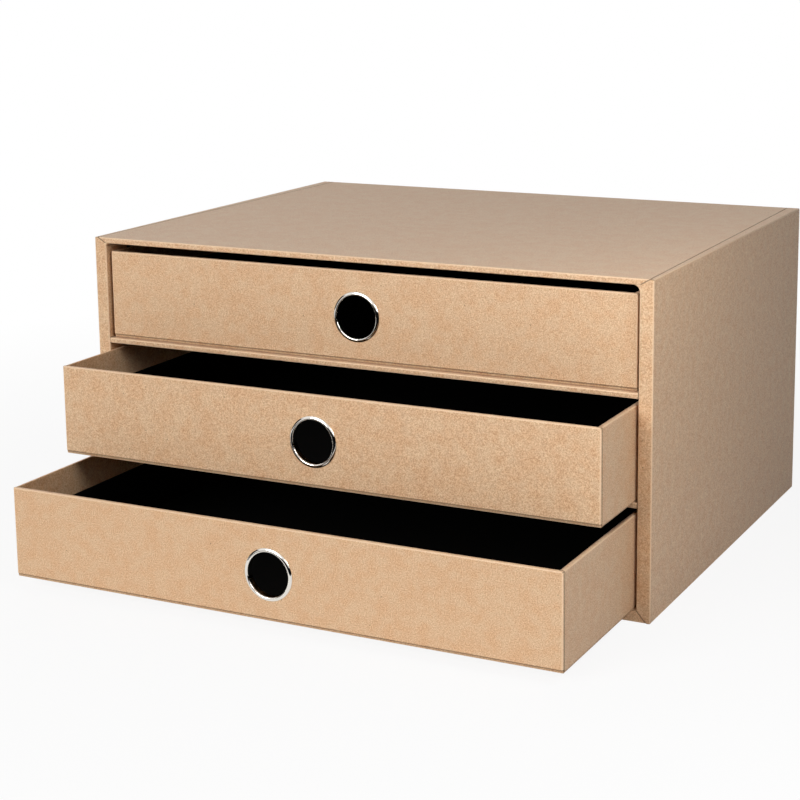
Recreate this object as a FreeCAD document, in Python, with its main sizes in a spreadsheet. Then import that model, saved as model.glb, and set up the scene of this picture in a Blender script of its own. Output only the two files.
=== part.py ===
import FreeCAD, Part
import math
import os
import Sketcher

# A desk file box of greyboard covered with kraft paper: a casing with three
# compartments, one above the other, and three drawers that slide in them. Each
# drawer is a tray of thin board with a metal eyelet as the finger hole in its
# front. The origin is the middle of the casing's base, +Z is up and the drawers
# open towards -Y. All lengths are in millimetres.

DOCUMENT = FreeCAD.newDocument("file_box")
SHEET = DOCUMENT.addObject("Spreadsheet::Sheet", "Sizes")
NODES = []
TOLERANCE = 1e-4
TOP_LEVEL = 2


class Length:
    """A length that knows its worth and the spreadsheet formula behind it."""

    def __init__(self, value, formula):
        self.value = value
        self.formula = formula

    def __add__(self, other):
        other = as_length(other)
        return Length(self.value + other.value, f"({self.formula} + {other.formula})")

    def __sub__(self, other):
        other = as_length(other)
        return Length(self.value - other.value, f"({self.formula} - {other.formula})")

    def __mul__(self, factor):
        return Length(self.value * factor, f"({self.formula} * {factor})")

    def __truediv__(self, factor):
        return Length(self.value / factor, f"({self.formula} / {factor})")

    def __neg__(self):
        return self * -1

    __rmul__ = __mul__


def as_length(number):
    """Any plain number as a Length; a Length stays as it is."""
    if isinstance(number, Length):
        return number
    return Length(number, str(number))


ZERO = as_length(0)
SIZE_NAMES = []


def size(name, value, meaning):
    """Writes a driving size to the next row of the sheet and gives its Length."""
    SIZE_NAMES.append(name)
    row = len(SIZE_NAMES)
    SHEET.set(f"A{row}", meaning)
    SHEET.set(f"B{row}", str(value))
    SHEET.setAlias(f"B{row}", name)
    return Length(value, f"Sizes.{name}")


# ---- driving sizes -----------------------------------------------------------

case_width = size("case_width", 336.0, "casing, outside, left to right")
case_depth = size("case_depth", 262.0, "casing, outside, front to back")
paper = size("paper", 0.4, "kraft paper with its glue")
side_board = size("side_board", 3.5, "outer side board")
spacer_board = size("spacer_board", 3.4, "board between two shelves")
top_board = size("top_board", 2.5, "top board")
bottom_board = size("bottom_board", 3.0, "bottom board")
floor_pad = size("floor_pad", 2.5, "second board on the bottom board")
back_board = size("back_board", 2.5, "back board")
shelf_board = size("shelf_board", 2.2, "board of a shelf")
fold_radius = size("fold_radius", 0.8, "roundness of a paper fold")
tab_depth = size("tab_depth", 20.0, "paper turned into the opening")
turn_front = size("turn_front", 2.2, "side paper turned onto the top, at the front")
turn_back = size("turn_back", 7.5, "side paper turned onto the top, at the back")
back_turn = size("back_turn", 6.0, "top and bottom paper turned onto the back")
drawer_height = size("drawer_height", 49.6, "drawer, underside to top edge")
drawer_board = size("drawer_board", 1.6, "wall board of a drawer")
drawer_floor = size("drawer_floor", 1.2, "floor board of a drawer")
floor_setback = size("floor_setback", 0.8, "floor edge behind the front face")
lining = size("lining", 0.4, "black paper inside a drawer")
turn_in = size("turn_in", 17.0, "kraft turned down inside a drawer's rim")
side_gap = size("side_gap", 1.6, "running gap on each side of a drawer")
running_gap = size("running_gap", 0.3, "gap below a drawer")
shelf_gap = size("shelf_gap", 3.7, "gap between a drawer and the shelf above it")
roof_gap = size("roof_gap", 4.8, "gap between the top drawer and the top")
front_recess = size("front_recess", 2.4, "closed drawer front behind the rim")
rear_gap = size("rear_gap", 0.5, "gap behind a closed drawer")
middle_open = size("middle_open", 48.4, "middle drawer as it stands open")
bottom_open = size("bottom_open", 95.0, "bottom drawer as it stands open")
eyelet_height = size("eyelet_height", 24.6, "eyelet centre above the underside")
eyelet_width = size("eyelet_width", 27.8, "eyelet flange, across")
finger_hole = size("finger_hole", 23.5, "clear hole through the eyelet")
eyelet_metal = size("eyelet_metal", 0.4, "sheet that the eyelet is drawn from")
eyelet_curl = size("eyelet_curl", 0.8, "radius of the barrel's rolled end")
eyelet_fit = size("eyelet_fit", 0.1, "eyelet barrel inside its holes")
washer_plate = size("washer_plate", 0.6, "washer behind the drawer front")

# ---- places that follow from them --------------------------------------------

case_x = case_width / 2
case_y = case_depth / 2
board_x = case_x - paper
board_y = case_y - paper
spacer_x = board_x - side_board
lining_x = spacer_x - spacer_board
opening_x = lining_x - paper
back_y = board_y - back_board

pad_z = paper + bottom_board
seat_z = pad_z + floor_pad
opening_z = seat_z + paper
shelf = shelf_board + 2 * paper
pitch = running_gap + drawer_height + shelf_gap + shelf
ceiling_z = opening_z + TOP_LEVEL * pitch + running_gap + drawer_height + roof_gap
roof_z = ceiling_z + paper
case_z = roof_z + top_board + paper

drawer_x = opening_x - side_gap
drawer_y = back_y - rear_gap + case_y - front_recess
wall = drawer_board + 2 * paper
tray_x = drawer_x - paper
face_z = paper + drawer_floor
lining_z = face_z + lining
lining_top = drawer_height - turn_in
rim_z = drawer_height - paper
front_back = paper + drawer_board
barrel = finger_hole / 2 + eyelet_metal
hole_radius = barrel + eyelet_fit
clinch = wall + washer_plate


# ---- ways of making ----------------------------------------------------------

def bind(thing, name, length):
    """Ties a property of a document object to the sheet."""
    thing.setExpression(name, as_length(length).formula)


def place(thing, x, y, z):
    """Ties the place of a document object to the sheet."""
    bind(thing, "Placement.Base.x", x)
    bind(thing, "Placement.Base.y", y)
    bind(thing, "Placement.Base.z", z)


def node(kind, label):
    """A new document object that is one separate piece, with its own name."""
    piece = DOCUMENT.addObject(kind, label)
    piece.Label = label
    NODES.append(piece)
    return piece


def board(label, low, high, origin=(ZERO, ZERO, ZERO)):
    """A flat rectangular board or sheet between two corners."""
    piece = node("Part::Box", label)
    corner = [as_length(a) + b for a, b in zip(low, origin)]
    for name, start, end in zip(("Length", "Width", "Height"), low, high):
        bind(piece, name, as_length(end) - start)
    place(piece, *corner)
    return piece


def pin_along(sketch, kind, edge, end, length):
    """Ties one point of a sketch's edge to a length from the origin, along X or Y."""
    length = as_length(length)
    rule = Sketcher.Constraint(kind, -1, 1, edge, end, length.value)
    number = sketch.addConstraint(rule)
    bind(sketch, f"Constraints[{number}]", length)


def pin(sketch, edge, end, point):
    """Ties one point of a sketch's edge to a pair of lengths from the origin."""
    pin_along(sketch, "DistanceX", edge, end, point[0])
    pin_along(sketch, "DistanceY", edge, end, point[1])


def vector(point):
    """A pair of lengths as a point of a sketch."""
    x, y = (as_length(a).value for a in point)
    return FreeCAD.Vector(x, y, 0)


def trace(sketch, points, centres=None):
    """Adds a closed outline to a sketch, each of its points tied to the sheet.

    Its runs are straight, except those in centres, which gives the centre of a
    round run and whether it turns left (1) or right (-1).
    """
    centres = centres or {}
    first = sketch.GeometryCount
    ends = []
    for n, (start, end) in enumerate(zip(points, points[1:] + points[:1])):
        if n in centres:
            middle, turn = centres[n]
            ends.append((1, 2) if turn > 0 else (2, 1))
            sketch.addGeometry(arc(start, end, middle, turn), False)
        else:
            ends.append((1, 2))
            sketch.addGeometry(Part.LineSegment(vector(start), vector(end)), False)
    for n, point in enumerate(points):
        before = (n - 1) % len(points)
        meet = (first + before, ends[before][1], first + n, ends[n][0])
        sketch.addConstraint(Sketcher.Constraint("Coincident", *meet))
        pin(sketch, first + n, ends[n][0], point)
    for n, (middle, turn) in centres.items():
        pin_along(sketch, "DistanceY", first + n, 3, middle[1])


def arc(start, end, middle, turn):
    """A round run between two points of a sketch."""
    centre = vector(middle)
    spokes = [vector(point) - centre for point in (start, end)[::turn]]
    low, high = (math.atan2(spoke.y, spoke.x) for spoke in spokes)
    if high <= low:
        high += 2 * math.pi
    circle = Part.Circle(centre, FreeCAD.Vector(0, 0, 1), spokes[0].Length)
    return Part.ArcOfCircle(circle, low, high)


def rectangle(x1, y1, x2, y2):
    """The four corners of a rectangle."""
    return [(x1, y1), (x2, y1), (x2, y2), (x1, y2)]


def new_sketch(body, plane, at=0):
    """An empty sketch on a plane of the body's own origin, moved along its axis."""
    sketch = body.newObject("Sketcher::SketchObject", body.Name + "_sketch")
    role = plane + "_Plane"
    flat = [f for f in body.Origin.OriginFeatures if f.Role == role][0]
    sketch.AttachmentSupport = [(flat, "")]
    sketch.MapMode = "FlatFace"
    offset = as_length(at)
    # The XZ plane looks towards -Y, the other two along their axis.
    bind(sketch, "AttachmentOffset.Base.z", -offset if plane == "XZ" else offset)
    return sketch


def extrude(body, kind, plane, at, depth, *outlines):
    """Pads or pockets closed outlines, always towards +X, +Y or +Z."""
    sketch = new_sketch(body, plane, at)
    for points in outlines:
        trace(sketch, points)
    return push(body, kind, plane, sketch, depth)


def push(body, kind, plane, sketch, depth):
    """Extrudes a sketch as a Pad or a Pocket and checks that it changed the body."""
    before = body.Shape.Volume if body.Tip else 0
    feature = body.newObject("PartDesign::" + kind, body.Name + "_" + kind)
    feature.Profile = sketch
    feature.Reversed = (kind == "Pad") == (plane == "XZ")
    bind(feature, "Length", depth)
    DOCUMENT.recompute()
    gain = body.Shape.Volume - before
    if (gain > 0) != (kind == "Pad"):
        raise RuntimeError(f"{body.Label}: a {kind} changed nothing")
    return feature


def drill(body, radius, centre_z, at, depth):
    """A round hole through the body, along Y."""
    sketch = new_sketch(body, "XZ", at)
    rim = Part.Circle(vector((0, centre_z)), FreeCAD.Vector(0, 0, 1), radius.value)
    sketch.addGeometry(rim, False)
    pin(sketch, 0, 3, (0, centre_z))
    number = sketch.addConstraint(Sketcher.Constraint("Radius", 0, radius.value))
    bind(sketch, f"Constraints[{number}]", radius)
    return push(body, "Pocket", "XZ", sketch, depth)


def on_side(edge, box, side):
    """Whether an edge lies in one side of a bounding box, such as "x-" or "z+"."""
    axis = side[0].upper()
    end = "Min" if side[1] == "-" else "Max"
    bound = edge.BoundBox
    wanted = getattr(box, axis + end)
    return all(abs(getattr(bound, axis + e) - wanted) < TOLERANCE for e in ("Min", "Max"))


def fold(body, radius, *corners):
    """Rounds the body's outer edges, each named by the two sides it lies in."""
    base = body.Tip
    names = []
    for number, edge in enumerate(base.Shape.Edges, start=1):
        box = base.Shape.BoundBox
        if any(all(on_side(edge, box, side) for side in pair) for pair in corners):
            names.append(f"Edge{number}")
    feature = body.newObject("PartDesign::Fillet", body.Name + "_fold")
    feature.Base = (base, names)
    bind(feature, "Radius", radius)
    DOCUMENT.recompute()
    return feature


def seat(level):
    """The height of the surface that the drawer of a level slides on."""
    return opening_z + level * pitch


def cover_over(level):
    """The height of the surface above the drawer of a level."""
    if level == TOP_LEVEL:
        return ceiling_z
    return seat(level + 1) - shelf


# ---- casing boards -----------------------------------------------------------

def make_casing_boards():
    """The greyboard core: an outer box, a back, two shelves and their spacers."""
    board("case_bottom_board", (-board_x, -board_y, paper), (board_x, board_y, pad_z))
    board("case_floor_pad", (-spacer_x, -board_y, pad_z), (spacer_x, back_y, seat_z))
    board("case_top_board", (-board_x, -board_y, roof_z), (board_x, board_y, case_z - paper))
    board("case_back_board", (-spacer_x, back_y, pad_z), (spacer_x, board_y, roof_z))
    board("case_left_board", (-board_x, -board_y, pad_z), (-spacer_x, board_y, roof_z))
    board("case_right_board", (spacer_x, -board_y, pad_z), (board_x, board_y, roof_z))
    for level, storey in enumerate(("lower", "middle", "upper")):
        low = seat(level) - paper
        high = cover_over(level) + paper
        board(f"{storey}_left_spacer", (-spacer_x, -board_y, low), (-lining_x, back_y, high))
        board(f"{storey}_right_spacer", (lining_x, -board_y, low), (spacer_x, back_y, high))
    for level, name in ((1, "lower"), (2, "upper")):
        low = seat(level) - paper - shelf_board
        high = seat(level) - paper
        board(f"{name}_shelf_board", (-spacer_x, -board_y, low), (spacer_x, back_y, high))


# ---- casing papers -----------------------------------------------------------

def side_cover(label, hand):
    """Kraft sheet over one side: round the front rim and into the compartments.

    It also turns onto the top, the bottom and the back. Its front flange ends in
    mitres, and the tab inside is slit where the shelves come through.
    """
    body = node("PartDesign::Body", label)
    plan = [
        (hand * (case_x - turn_back), case_y),
        (hand * case_x, case_y),
        (hand * case_x, -case_y),
        (hand * opening_x, -case_y),
        (hand * opening_x, tab_depth - case_y),
        (hand * lining_x, tab_depth - case_y),
        (hand * lining_x, -board_y),
        (hand * board_x, -board_y),
        (hand * board_x, board_y),
        (hand * (case_x - turn_back), board_y),
    ]
    extrude(body, "Pad", "XY", 0, case_z, plan)
    outside = "x+" if hand > 0 else "x-"
    inside = "x-" if hand > 0 else "x+"
    fold(body, fold_radius, (outside, "y-"), (outside, "y+"), (inside, "y-"))
    back_edge = case_x - turn_back
    mitre_x = case_x - turn_front
    past_x = back_edge - paper
    top_mitre = [
        (hand * mitre_x, case_z),
        (hand * opening_x, ceiling_z),
        (hand * past_x, ceiling_z),
        (hand * past_x, case_z),
    ]
    bottom_mitre = [
        (hand * mitre_x, ZERO),
        (hand * opening_x, opening_z),
        (hand * past_x, opening_z),
        (hand * past_x, ZERO),
    ]
    extrude(body, "Pocket", "XZ", -case_y, tab_depth + paper, top_mitre, bottom_mitre)
    turn = [
        (hand * board_x, -board_y),
        (hand * mitre_x, -board_y),
        (hand * back_edge, board_y),
        (hand * board_x, board_y),
    ]
    extrude(body, "Pad", "XY", case_z - paper, paper, turn)
    extrude(body, "Pad", "XY", 0, paper, turn)
    slits = []
    for level in (1, 2):
        low = seat(level) - shelf
        slits.append(rectangle(hand * past_x, low, hand * (lining_x + paper), seat(level)))
    extrude(body, "Pocket", "XZ", -board_y, tab_depth, *slits)
    round_long_edges(body, hand)


def round_long_edges(body, hand):
    """Rounds the fold between a side and the top, and that under the side."""
    sketch = new_sketch(body, "XZ", -case_y)
    edge = hand * case_x
    fold_x = hand * (case_x - fold_radius)
    for end_z, down, turn in ((case_z, -1, 1), (ZERO, 1, -1)):
        fold_z = end_z + down * fold_radius
        corner = [(edge, fold_z), (fold_x, end_z), (edge, end_z)]
        trace(sketch, corner, {0: ((fold_x, fold_z), turn * hand)})
    push(body, "Pocket", "XZ", sketch, case_depth)


def level_cover(label, outer_z, rim, upward):
    """Kraft sheet over the top or the bottom: down the front rim and inside.

    The outer face lies at outer_z and the sheet's inside looks along upward. Its
    two side edges taper as the side papers' turned edges do.
    """
    body = node("PartDesign::Body", label)
    inner_z = outer_z + upward * paper
    rim_z_end = outer_z + upward * rim
    tab_z = rim_z_end - upward * paper
    section = [
        (case_y, outer_z),
        (-case_y, outer_z),
        (-case_y, rim_z_end),
        (tab_depth - case_y, rim_z_end),
        (tab_depth - case_y, tab_z),
        (-board_y, tab_z),
        (-board_y, inner_z),
        (board_y, inner_z),
        (board_y, outer_z + upward * back_turn),
        (case_y, outer_z + upward * back_turn),
    ]
    mitre_x = case_x - turn_front
    back_edge = case_x - turn_back
    extrude(body, "Pad", "YZ", -mitre_x, 2 * mitre_x, section)
    outer = "z-" if upward > 0 else "z+"
    fold(body, fold_radius, ("y-", outer), ("y+", outer))
    past_x = case_x + paper
    past_z = rim_z_end + upward * paper
    mitres = []
    tapers = []
    for hand in (-1, 1):
        mitres.append([
            (hand * mitre_x, outer_z),
            (hand * opening_x, rim_z_end),
            (hand * opening_x, past_z),
            (hand * past_x, past_z),
            (hand * past_x, outer_z),
        ])
        tapers.append([
            (hand * mitre_x, -case_y),
            (hand * back_edge, case_y),
            (hand * past_x, case_y),
            (hand * past_x, -case_y),
        ])
    extrude(body, "Pocket", "XZ", -case_y, tab_depth + paper, *mitres)
    low_z = outer_z if upward > 0 else outer_z - back_turn
    extrude(body, "Pocket", "XY", low_z - paper, back_turn + 2 * paper, *tapers)


def shelf_cover(label, level):
    """Kraft sheet folded round a shelf's front edge, over both of its faces."""
    body = node("PartDesign::Body", label)
    high = seat(level)
    low = high - shelf
    section = [
        (back_y, low),
        (-case_y, low),
        (-case_y, high),
        (back_y, high),
        (back_y, high - paper),
        (-board_y, high - paper),
        (-board_y, low + paper),
        (back_y, low + paper),
    ]
    extrude(body, "Pad", "YZ", -opening_x, 2 * opening_x, section)
    fold(body, fold_radius, ("y-", "z+"), ("y-", "z-"))


def make_casing_papers():
    """The five sheets that cover the casing and the two that cover the shelves."""
    side_cover("case_left_paper", -1)
    side_cover("case_right_paper", 1)
    level_cover("case_top_paper", case_z, case_z - ceiling_z, -1)
    level_cover("case_bottom_paper", ZERO, opening_z, 1)
    edge_x = case_x - turn_back
    low = (-edge_x, board_y, back_turn)
    board("case_back_paper", low, (edge_x, case_y, case_z - back_turn))
    shelf_cover("lower_shelf_paper", 1)
    shelf_cover("upper_shelf_paper", 2)


# ---- drawers -----------------------------------------------------------------

def front_board(label, origin):
    """The stiff board of the drawer front, with the hole for the eyelet."""
    body = node("PartDesign::Body", label)
    extrude(body, "Pad", "XZ", paper, drawer_board, rectangle(-tray_x, face_z, tray_x, rim_z))
    drill(body, hole_radius, eyelet_height, 0, wall)
    place(body, *origin)


def front_paper(label, origin):
    """Kraft sheet over the front board: outside, ends, top edge and inside."""
    body = node("PartDesign::Body", label)
    inner_x = drawer_x - wall
    shell = rectangle(-drawer_x, face_z, drawer_x, drawer_height)
    extrude(body, "Pad", "XZ", 0, front_back, shell)
    fold(body, fold_radius, ("y-", "z+"), ("y-", "x-"), ("y-", "x+"))
    core = rectangle(-tray_x, face_z - paper, tray_x, rim_z)
    extrude(body, "Pocket", "XZ", paper, drawer_board, core)
    inside = rectangle(-inner_x, lining_top, inner_x, drawer_height)
    extrude(body, "Pad", "XZ", front_back, paper, inside)
    drill(body, hole_radius, eyelet_height, -paper, wall + paper)
    place(body, *origin)


def wall_plan(outer, inner, front, rear):
    """Plan of a three-sided band, open to the front."""
    out_x = drawer_x - outer
    in_x = drawer_x - inner
    return [
        (-out_x, front),
        (-in_x, front),
        (-in_x, rear - inner),
        (in_x, rear - inner),
        (in_x, front),
        (out_x, front),
        (out_x, rear - outer),
        (-out_x, rear - outer),
    ]


def wall_paper(label, origin):
    """Kraft strip round the two sides and the rear, turned down inside them."""
    body = node("PartDesign::Body", label)
    band = wall_plan(ZERO, wall, front_back, drawer_y)
    extrude(body, "Pad", "XY", paper, drawer_height - paper, band)
    fold(body, fold_radius, ("x-", "y+"), ("x+", "y+"))
    fold(body, fold_radius, ("x-", "z+"), ("x+", "z+"), ("y+", "z+"))
    core = wall_plan(paper, paper + drawer_board, ZERO, drawer_y)
    extrude(body, "Pocket", "XY", 0, rim_z, core)
    underneath = rectangle(-tray_x, ZERO, tray_x, drawer_y - paper)
    extrude(body, "Pocket", "XY", 0, lining_top, underneath)
    place(body, *origin)


def drawer_lining(label, origin):
    """Black sheet over the floor, turned up inside the walls to meet the kraft."""
    body = node("PartDesign::Body", label)
    core_x = tray_x - drawer_board
    rear = drawer_y - front_back
    outside = rectangle(-core_x, front_back, core_x, rear)
    extrude(body, "Pad", "XY", face_z, lining_top - face_z, outside)
    inside = rectangle(lining - core_x, front_back + lining, core_x - lining, rear - lining)
    extrude(body, "Pocket", "XY", lining_z, lining_top - lining_z, inside)
    drill(body, hole_radius, eyelet_height, front_back - lining, 3 * lining)
    place(body, *origin)


def base_paper(label, origin):
    """Kraft sheet under the floor, turned up over the floor's front edge."""
    body = node("PartDesign::Body", label)
    section = [
        (floor_setback, ZERO),
        (drawer_y, ZERO),
        (drawer_y, paper),
        (floor_setback + paper, paper),
        (floor_setback + paper, face_z),
        (floor_setback, face_z),
    ]
    extrude(body, "Pad", "YZ", -drawer_x, 2 * drawer_x, section)
    fold(body, fold_radius * 0.5, ("y-", "z-"))
    place(body, *origin)


def revolve(body, sketch):
    """Turns a half section once round the body's Y axis."""
    feature = body.newObject("PartDesign::Revolution", body.Name + "_turned")
    feature.Profile = sketch
    feature.ReferenceAxis = (sketch, ["V_Axis"])
    feature.Angle = 360
    DOCUMENT.recompute()


def half_round(middle, level, radius, bevels):
    """Points of a half round that bulges out of the drawer, drawn with bevels.

    It runs towards the middle of the hole. With a negative radius it runs away
    from the middle and bulges into the drawer.
    """
    points = []
    for n in range(bevels + 1):
        angle = math.pi * n / bevels
        across = middle + radius * math.cos(angle)
        points.append((across, level - radius * math.sin(angle)))
    return points


def eyelet(label, origin):
    """Metal eyelet: a domed flange, a barrel and an end rolled over the washer.

    The half section is drawn in the XY plane, where X is the distance from the
    hole's middle and Y runs into the drawer.
    """
    body = node("PartDesign::Body", label)
    inner = finger_hole / 2
    outer = eyelet_width / 2
    flange = half_round((inner + outer) / 2, ZERO, (outer - inner) / 2, 3)
    curl = half_round(inner + eyelet_curl, clinch, -eyelet_curl, 2)
    sketch = new_sketch(body, "XY")
    trace(sketch, flange + curl + [(barrel, clinch), (barrel, ZERO)])
    revolve(body, sketch)
    place(body, *eyelet_place(origin))


def eyelet_place(origin):
    """The middle of the finger hole, on the front face of a drawer."""
    return (origin[0], origin[1], origin[2] + eyelet_height)


def eyelet_washer(label, origin):
    """Flat ring behind the drawer front, under the eyelet's rolled end."""
    body = node("PartDesign::Body", label)
    sketch = new_sketch(body, "XY")
    trace(sketch, rectangle(hole_radius, wall, eyelet_width / 2, clinch))
    revolve(body, sketch)
    place(body, *eyelet_place(origin))


def make_drawer(name, level, pulled_out):
    """One drawer, pulled out of its compartment by a length."""
    origin = (ZERO, front_recess - case_y - pulled_out, seat(level) + running_gap)
    rear = drawer_y - paper
    rear_front = rear - drawer_board
    core_x = tray_x - drawer_board
    floor_low = (-tray_x, floor_setback + paper, paper)
    board(f"{name}_floor_board", floor_low, (tray_x, rear, face_z), origin)
    left_low = (-tray_x, front_back, face_z)
    board(f"{name}_left_board", left_low, (-core_x, rear_front, rim_z), origin)
    right_low = (core_x, front_back, face_z)
    board(f"{name}_right_board", right_low, (tray_x, rear_front, rim_z), origin)
    rear_low = (-tray_x, rear_front, face_z)
    board(f"{name}_rear_board", rear_low, (tray_x, rear, rim_z), origin)
    drawer_lining(f"{name}_lining", origin)
    front_board(f"{name}_front_board", origin)
    front_paper(f"{name}_front_paper", origin)
    wall_paper(f"{name}_wall_paper", origin)
    base_paper(f"{name}_base_paper", origin)
    eyelet(f"{name}_eyelet", origin)
    eyelet_washer(f"{name}_eyelet_washer", origin)


def check_document():
    """Stops when an object failed or a piece is not one sound solid."""
    for thing in DOCUMENT.Objects:
        if "Invalid" in thing.State or "Error" in thing.State:
            raise RuntimeError(f"{thing.Label} failed: {thing.State}")
    for piece in NODES:
        shape = piece.Shape
        if shape.isNull() or not shape.isValid() or len(shape.Solids) != 1:
            raise RuntimeError(f"{piece.Label} is not one valid solid")


def write_parts():
    """Writes each piece to its own file, named for it."""
    os.makedirs("parts", exist_ok=True)
    for piece in NODES:
        piece.Shape.exportStep(f"parts/{piece.Label}.step")


DOCUMENT.recompute()
make_casing_boards()
make_casing_papers()
make_drawer("top_drawer", 2, ZERO)
make_drawer("middle_drawer", 1, middle_open)
make_drawer("bottom_drawer", 0, bottom_open)
DOCUMENT.recompute()
check_document()
write_parts()
print(f"{len(NODES)} pieces, casing {case_width.value} x {case_depth.value} x {case_z.value:.1f} mm")
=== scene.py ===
import math
import bmesh
import bpy
from bpy.props import FloatProperty, FloatVectorProperty, IntProperty, PointerProperty
from mathutils import Matrix, Vector


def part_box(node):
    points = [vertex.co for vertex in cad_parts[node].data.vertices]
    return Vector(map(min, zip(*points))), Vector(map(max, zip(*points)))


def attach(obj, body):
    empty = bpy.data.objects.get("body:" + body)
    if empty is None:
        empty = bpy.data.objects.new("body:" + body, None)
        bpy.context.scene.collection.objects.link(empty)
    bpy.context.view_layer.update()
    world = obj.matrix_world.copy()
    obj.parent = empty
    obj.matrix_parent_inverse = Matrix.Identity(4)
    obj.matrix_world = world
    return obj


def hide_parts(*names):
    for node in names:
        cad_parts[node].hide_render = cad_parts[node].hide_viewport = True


bl_info = {
    "name": "Kraft File Box",
    "version": (1, 0, 0),
    "blender": (4, 5, 0),
    "location": "3D View > Sidebar > File Box",
    "description": "Kraft covers, boards, liners and eyelets of a file box with three drawers",
    "category": "Object",
}

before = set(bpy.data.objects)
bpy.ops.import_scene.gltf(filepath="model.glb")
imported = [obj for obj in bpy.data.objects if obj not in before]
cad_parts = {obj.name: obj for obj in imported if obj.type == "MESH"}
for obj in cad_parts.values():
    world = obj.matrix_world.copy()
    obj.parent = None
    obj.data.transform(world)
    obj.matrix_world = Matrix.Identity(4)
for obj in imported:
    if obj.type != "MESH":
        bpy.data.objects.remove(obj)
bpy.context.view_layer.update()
MM = 0.001
DRAWERS = ("top_drawer", "middle_drawer", "bottom_drawer")
CASING_SHEETS = ("left_paper", "right_paper", "top_paper", "bottom_paper", "back_paper")
SHELF_SHEETS = ("lower_shelf_paper", "upper_shelf_paper")
DRAWER_SHEETS = ("front_paper", "wall_paper", "base_paper")


# ---- colours and nodes -------------------------------------------------------

def linear(code):
    """An sRGB hex colour as three linear numbers."""
    parts = [int(code[n:n + 2], 16) / 255 for n in (0, 2, 4)]
    return [p / 12.92 if p <= 0.04045 else ((p + 0.055) / 1.055) ** 2.4 for p in parts]


def add(tree, kind, inputs=None, **settings):
    """Adds a node, sets it, and gives or links its inputs by name or number."""
    node = tree.nodes.new(kind)
    for name, value in settings.items():
        setattr(node, name, value)
    for name, value in (inputs or {}).items():
        if isinstance(value, bpy.types.NodeSocket):
            tree.links.new(value, node.inputs[name])
        else:
            node.inputs[name].default_value = value
    return node


def new_material(name):
    """An empty node material, with its tree and its output node."""
    material = bpy.data.materials.new(name)
    material.use_nodes = True
    tree = material.node_tree
    tree.nodes.clear()
    return material, tree, tree.nodes.new("ShaderNodeOutputMaterial")


def math_node(tree, operation, *values):
    """A math node's output socket."""
    node = add(tree, "ShaderNodeMath", dict(enumerate(values)), operation=operation)
    return node.outputs["Value"]


# Numbers of a colour mix's sockets; their names are shared by its other kinds.
MIX_FACTOR, MIX_FIRST, MIX_SECOND, MIX_RESULT = 0, 6, 7, 2


def mix_colour(tree, factor, first, second):
    """A mix of two colours; gives its output socket."""
    inputs = {MIX_FACTOR: factor, MIX_FIRST: first, MIX_SECOND: second}
    return add(tree, "ShaderNodeMix", inputs, data_type="RGBA").outputs[MIX_RESULT]


# The share of a speck's radius that has its full colour.
SPECK_CORE = 0.4


def speck(tree, place, spacing, radius, share):
    """Scattered round specks of a real radius, in a share of the cells; gives a mask."""
    cells = add(tree, "ShaderNodeTexVoronoi", {"Vector": place, "Scale": 1 / spacing})
    size = radius / spacing
    near = add(tree, "ShaderNodeMapRange", {
        "Value": cells.outputs["Distance"], "From Min": size, "From Max": size * SPECK_CORE})
    chosen = add(tree, "ShaderNodeSeparateColor", {"Color": cells.outputs["Color"]})
    kept = math_node(tree, "LESS_THAN", chosen.outputs["Red"], share)
    return math_node(tree, "MULTIPLY", near.outputs["Result"], kept)


def seen_directly(tree):
    """1 for rays from the camera, a mirror or glass, and 0 for rays that light a surface."""
    path = add(tree, "ShaderNodeLightPath")
    either = math_node(
        tree, "MAXIMUM", path.outputs["Is Camera Ray"], path.outputs["Is Glossy Ray"])
    return math_node(tree, "MAXIMUM", either, path.outputs["Is Transmission Ray"])


# ---- settings ----------------------------------------------------------------

class KraftSettings(bpy.types.PropertyGroup):
    """Look of the kraft paper that covers every board."""

    warm: FloatVectorProperty(
        name="Warm Pulp",
        description="Colour of the paper where brown pulp lies thickest",
        subtype="COLOR",
        default=linear("D9AE85"),
    )
    pale: FloatVectorProperty(
        name="Pale Pulp",
        description="Colour of the paper where the pulp is bleached",
        subtype="COLOR",
        default=linear("DCB892"),
    )
    # The fold colour is part rubbing wear, part painted highlight.
    wear_and_highlight: FloatVectorProperty(
        name="Rubbed Fold And Painted Highlight",
        description="Colour of the raised fibres along a fold, with a painted highlight",
        subtype="COLOR",
        default=linear("F6D6B2"),
    )
    # A dark joint with painted shade of the groove between two sheets.
    joint_shade: FloatVectorProperty(
        name="Cut Edge Joint And Painted Shade",
        description="Colour in the joint between two sheets, with painted shade of the groove",
        subtype="COLOR",
        default=linear("3A2414"),
    )
    speck: FloatVectorProperty(
        name="Dark Speck",
        description="Colour of the bark specks in the pulp",
        subtype="COLOR",
        default=linear("8A6240"),
    )
    cloud_size: FloatProperty(
        name="Cloud Size",
        description="Width of the soft clouds in the pulp",
        subtype="DISTANCE",
        default=6 * MM,
    )
    fibre_size: FloatProperty(
        name="Fibre Size",
        description="Width of a tuft of fibres",
        subtype="DISTANCE",
        default=0.65 * MM,
    )
    tuft: FloatVectorProperty(
        name="Fibre Tuft",
        description="Colour that a tuft of fibres adds to the pulp, or takes from it",
        subtype="COLOR",
        default=linear("B1B397"),
    )
    grain: FloatProperty(
        name="Grain",
        description="Share of the tuft's colour that is added or taken at most",
        subtype="FACTOR",
        default=0.36,
    )
    speck_spacing: FloatProperty(
        name="Speck Spacing",
        description="Distance between bark specks",
        subtype="DISTANCE",
        default=7 * MM,
    )


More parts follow.
